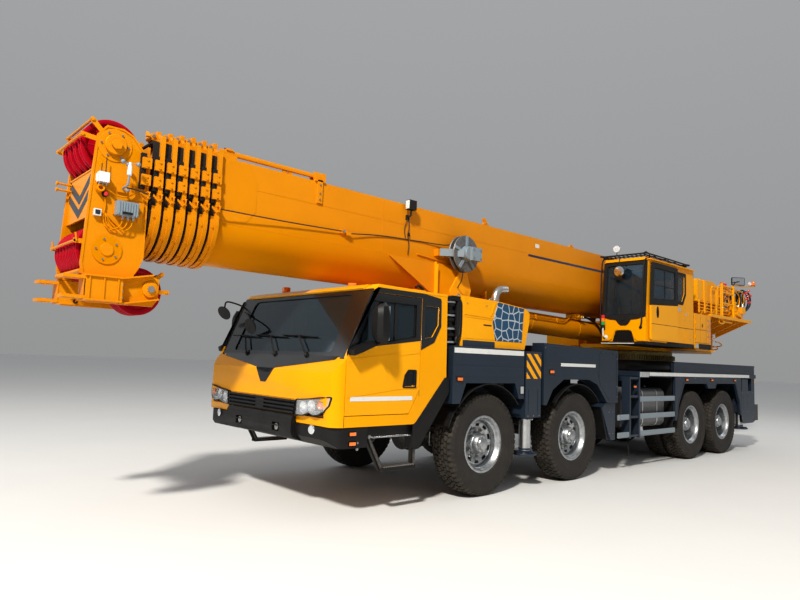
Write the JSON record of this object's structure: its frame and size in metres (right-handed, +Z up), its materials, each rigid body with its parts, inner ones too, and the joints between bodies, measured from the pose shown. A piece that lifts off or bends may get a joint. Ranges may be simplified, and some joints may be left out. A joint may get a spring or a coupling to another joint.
{
  "type": "truck crane",
  "caption": "Road-going telescopic truck crane in travel position: low front cab, slewing superstructure with operator cab, nested boom sections, lift cylinder and folding-out outriggers.",
  "frame": {"origin": "on the ground under the middle of the whole machine in travel position", "axes": "+X forward along the vehicle, +Y to its left, +Z up"},
  "size_m": [13.83, 3.16, 3.73],
  "materials": {
    "yellow_paint": "semi-gloss orange-yellow paint",
    "dark_paint": "satin dark blue-grey paint",
    "black_paint": "satin black paint",
    "red_paint": "satin dark red paint",
    "glass": "tinted safety glass",
    "seat_trim": "matt dark trim",
    "bumper_plastic": "grained black moulding",
    "engine_iron": "raw casting, oily",
    "tank_steel": "dark grey paint",
    "rail_paint": "light blue-grey paint",
    "ring_steel": "greased gear steel",
    "tyre": "worn tyre rubber",
    "chrome_rod": "hard chromed rod",
    "jack_steel": "ground steel"
  },
  "bodies": {
    "carrier": {"chassis_frame": "dark_paint", "front_axles": "black_paint", "rear_axles": "black_paint", "front_bumper": "bumper_plastic", "cab_shell": "yellow_paint", "cab_glass": "glass", "cab_interior": "seat_trim", "engine_cover": "yellow_paint", "engine": "engine_iron", "front_fenders": "dark_paint", "rear_deck": "dark_paint", "outrigger_boxes": "dark_paint", "fuel_tank": "tank_steel", "side_steps": "rail_paint", "tail_bar": "black_paint", "slew_ring": "ring_steel"},
    "superstructure": {"turntable": "yellow_paint", "operator_cab": "yellow_paint", "operator_glass": "glass", "operator_seat": "seat_trim", "side_cowl": "yellow_paint", "right_unit": "dark_paint", "main_winch": "yellow_paint", "auxiliary_winch": "yellow_paint"},
    "cab_door_left": {"cab_door_left": "yellow_paint"},
    "cab_door_right": {"cab_door_right": "yellow_paint"},
    "knuckle_1_left": {"knuckle_1_left": "black_paint"},
    "knuckle_1_right": {"knuckle_1_right": "black_paint"},
    "knuckle_2_left": {"knuckle_2_left": "black_paint"},
    "knuckle_2_right": {"knuckle_2_right": "black_paint"},
    "wheel_1_left": {"wheel_1_left": "tyre"},
    "wheel_1_right": {"wheel_1_right": "tyre"},
    "wheel_2_left": {"wheel_2_left": "tyre"},
    "wheel_2_right": {"wheel_2_right": "tyre"},
    "wheel_3_left": {"wheel_3_left": "tyre"},
    "wheel_3_right": {"wheel_3_right": "tyre"},
    "wheel_4_left": {"wheel_4_left": "tyre"},
    "wheel_4_right": {"wheel_4_right": "tyre"},
    "outrigger_beam_front_left": {"outrigger_beam_front_left": "dark_paint"},
    "outrigger_beam_front_right": {"outrigger_beam_front_right": "dark_paint"},
    "outrigger_beam_rear_left": {"outrigger_beam_rear_left": "dark_paint"},
    "outrigger_beam_rear_right": {"outrigger_beam_rear_right": "dark_paint"},
    "jack_front_left": {"jack_front_left": "jack_steel"},
    "jack_front_right": {"jack_front_right": "jack_steel"},
    "jack_rear_left": {"jack_rear_left": "jack_steel"},
    "jack_rear_right": {"jack_rear_right": "jack_steel"},
    "operator_door": {"operator_door": "yellow_paint"},
    "lift_cylinder": {"lift_cylinder": "yellow_paint"},
    "lift_rod": {"lift_rod": "chrome_rod"},
    "boom_base": {"boom_base": "yellow_paint"},
    "boom_section_2": {"boom_section_2": "yellow_paint"},
    "boom_section_3": {"boom_section_3": "yellow_paint"},
    "boom_section_4": {"boom_section_4": "yellow_paint"},
    "boom_section_5": {"boom_section_5": "yellow_paint"},
    "boom_section_6": {"boom_section_6": "yellow_paint"},
    "boom_head": {"boom_head": "yellow_paint"},
    "upper_sheaves": {"upper_sheaves": "red_paint"},
    "lower_sheaves": {"lower_sheaves": "red_paint"},
    "rear_sheaves": {"rear_sheaves": "red_paint"}
  },
  "joints": [
    {"name": "cab_door_left_hinge", "type": "hinge", "parent": "carrier", "child": "cab_door_left", "pos_m": [4.54, 1.335, 1.6], "axis": [0, 0, -1], "range_deg": [0, 65]},
    {"name": "cab_door_right_hinge", "type": "hinge", "parent": "carrier", "child": "cab_door_right", "pos_m": [4.54, -1.335, 1.6], "axis": [0, 0, 1], "range_deg": [0, 65]},
    {"name": "steer_1_left", "type": "hinge", "parent": "carrier", "child": "knuckle_1_left", "pos_m": [2.365, 0.985, 0.613], "axis": [0, 0, 1], "range_deg": [-32, 32]},
    {"name": "steer_1_right", "type": "hinge", "parent": "carrier", "child": "knuckle_1_right", "pos_m": [2.365, -0.985, 0.613], "axis": [0, 0, 1], "range_deg": [-32, 32]},
    {"name": "steer_2_left", "type": "hinge", "parent": "carrier", "child": "knuckle_2_left", "pos_m": [0.445, 0.985, 0.613], "axis": [0, 0, 1], "range_deg": [-22, 22]},
    {"name": "steer_2_right", "type": "hinge", "parent": "carrier", "child": "knuckle_2_right", "pos_m": [0.445, -0.985, 0.613], "axis": [0, 0, 1], "range_deg": [-22, 22]},
    {"name": "wheel_1_left_spin", "type": "hinge", "parent": "knuckle_1_left", "child": "wheel_1_left", "pos_m": [2.365, 0, 0.613], "axis": [0, 1, 0], "continuous": true},
    {"name": "wheel_1_right_spin", "type": "hinge", "parent": "knuckle_1_right", "child": "wheel_1_right", "pos_m": [2.365, 0, 0.613], "axis": [0, 1, 0], "continuous": true},
    {"name": "wheel_2_left_spin", "type": "hinge", "parent": "knuckle_2_left", "child": "wheel_2_left", "pos_m": [0.445, 0, 0.613], "axis": [0, 1, 0], "continuous": true},
    {"name": "wheel_2_right_spin", "type": "hinge", "parent": "knuckle_2_right", "child": "wheel_2_right", "pos_m": [0.445, 0, 0.613], "axis": [0, 1, 0], "continuous": true},
    {"name": "wheel_3_left_spin", "type": "hinge", "parent": "carrier", "child": "wheel_3_left", "pos_m": [-3.425, 0, 0.613], "axis": [0, 1, 0], "continuous": true},
    {"name": "wheel_3_right_spin", "type": "hinge", "parent": "carrier", "child": "wheel_3_right", "pos_m": [-3.425, 0, 0.613], "axis": [0, 1, 0], "continuous": true},
    {"name": "wheel_4_left_spin", "type": "hinge", "parent": "carrier", "child": "wheel_4_left", "pos_m": [-4.845, 0, 0.613], "axis": [0, 1, 0], "continuous": true},
    {"name": "wheel_4_right_spin", "type": "hinge", "parent": "carrier", "child": "wheel_4_right", "pos_m": [-4.845, 0, 0.613], "axis": [0, 1, 0], "continuous": true},
    {"name": "outrigger_front_left_slide", "type": "slide", "parent": "carrier", "child": "outrigger_beam_front_left", "axis": [0, 1, 0], "range_m": [0, 1.75]},
    {"name": "jack_front_left_slide", "type": "slide", "parent": "outrigger_beam_front_left", "child": "jack_front_left", "axis": [0, 0, -1], "range_m": [0, 0.5]},
    {"name": "outrigger_front_right_slide", "type": "slide", "parent": "carrier", "child": "outrigger_beam_front_right", "axis": [0, -1, 0], "range_m": [0, 1.75]},
    {"name": "jack_front_right_slide", "type": "slide", "parent": "outrigger_beam_front_right", "child": "jack_front_right", "axis": [0, 0, -1], "range_m": [0, 0.5]},
    {"name": "outrigger_rear_left_slide", "type": "slide", "parent": "carrier", "child": "outrigger_beam_rear_left", "axis": [0, 1, 0], "range_m": [0, 1.75]},
    {"name": "jack_rear_left_slide", "type": "slide", "parent": "outrigger_beam_rear_left", "child": "jack_rear_left", "axis": [0, 0, -1], "range_m": [0, 0.5]},
    {"name": "outrigger_rear_right_slide", "type": "slide", "parent": "carrier", "child": "outrigger_beam_rear_right", "axis": [0, -1, 0], "range_m": [0, 1.75]},
    {"name": "jack_rear_right_slide", "type": "slide", "parent": "outrigger_beam_rear_right", "child": "jack_rear_right", "axis": [0, 0, -1], "range_m": [0, 0.5]},
    {"name": "slewing", "type": "hinge", "parent": "carrier", "child": "superstructure", "pos_m": [-3.635, 0, 1.93], "axis": [0, 0, 1], "continuous": true},
    {"name": "operator_door_slide", "type": "slide", "parent": "superstructure", "child": "operator_door", "axis": [-1, 0, 0], "range_m": [0, 0.68]},
    {"name": "boom_luff", "type": "hinge", "parent": "superstructure", "child": "boom_base", "pos_m": [-5.435, 0, 3.15], "axis": [0, -1, 0], "range_deg": [0, 80]},
    {"name": "telescope_2", "type": "slide", "parent": "boom_base", "child": "boom_section_2", "axis": [1, 0, 0], "range_m": [0, 6]},
    {"name": "telescope_3", "type": "slide", "parent": "boom_section_2", "child": "boom_section_3", "axis": [1, 0, 0], "range_m": [0, 6]},
    {"name": "telescope_4", "type": "slide", "parent": "boom_section_3", "child": "boom_section_4", "axis": [1, 0, 0], "range_m": [0, 6]},
    {"name": "telescope_5", "type": "slide", "parent": "boom_section_4", "child": "boom_section_5", "axis": [1, 0, 0], "range_m": [0, 6]},
    {"name": "telescope_6", "type": "slide", "parent": "boom_section_5", "child": "boom_section_6", "axis": [1, 0, 0], "range_m": [0, 6]},
    {"name": "telescope_7", "type": "slide", "parent": "boom_section_6", "child": "boom_head", "axis": [1, 0, 0], "range_m": [0, 6]},
    {"name": "upper_sheaves_spin", "type": "hinge", "parent": "boom_head", "child": "upper_sheaves", "pos_m": [6.555, 0, 3.43], "axis": [0, 1, 0], "continuous": true},
    {"name": "lower_sheaves_spin", "type": "hinge", "parent": "boom_head", "child": "lower_sheaves", "pos_m": [6.555, 0, 2.47], "axis": [0, 1, 0], "continuous": true},
    {"name": "rear_sheaves_spin", "type": "hinge", "parent": "boom_head", "child": "rear_sheaves", "pos_m": [6.155, 0, 2.15], "axis": [0, 1, 0], "continuous": true},
    {"name": "lift_cylinder_pivot", "type": "hinge", "parent": "superstructure", "child": "lift_cylinder", "pos_m": [-3.085, 0, 2.21], "axis": [0, -1, 0], "range_deg": [0, 91.24]},
    {"name": "lift_rod_slide", "type": "slide", "parent": "lift_cylinder", "child": "lift_rod", "axis": [0.9997, 0, 0.0245], "range_m": [0, 3.0492]}
  ],
  "couplings": [
    {"joint": "steer_1_right", "follows": "steer_1_left", "ratio": 1},
    {"joint": "steer_2_left", "follows": "steer_1_left", "ratio": 0.6875},
    {"joint": "steer_2_right", "follows": "steer_1_left", "ratio": 0.6875},
    {"joint": "telescope_3", "follows": "telescope_2", "ratio": 1},
    {"joint": "telescope_4", "follows": "telescope_2", "ratio": 1},
    {"joint": "telescope_5", "follows": "telescope_2", "ratio": 1},
    {"joint": "telescope_6", "follows": "telescope_2", "ratio": 1},
    {"joint": "telescope_7", "follows": "telescope_2", "ratio": 1},
    {"joint": "lift_cylinder_pivot", "follows": "boom_luff", "ratio": 1.1404},
    {"joint": "lift_rod_slide", "follows": "boom_luff", "m_per_rad": 2.1835}
  ]
}
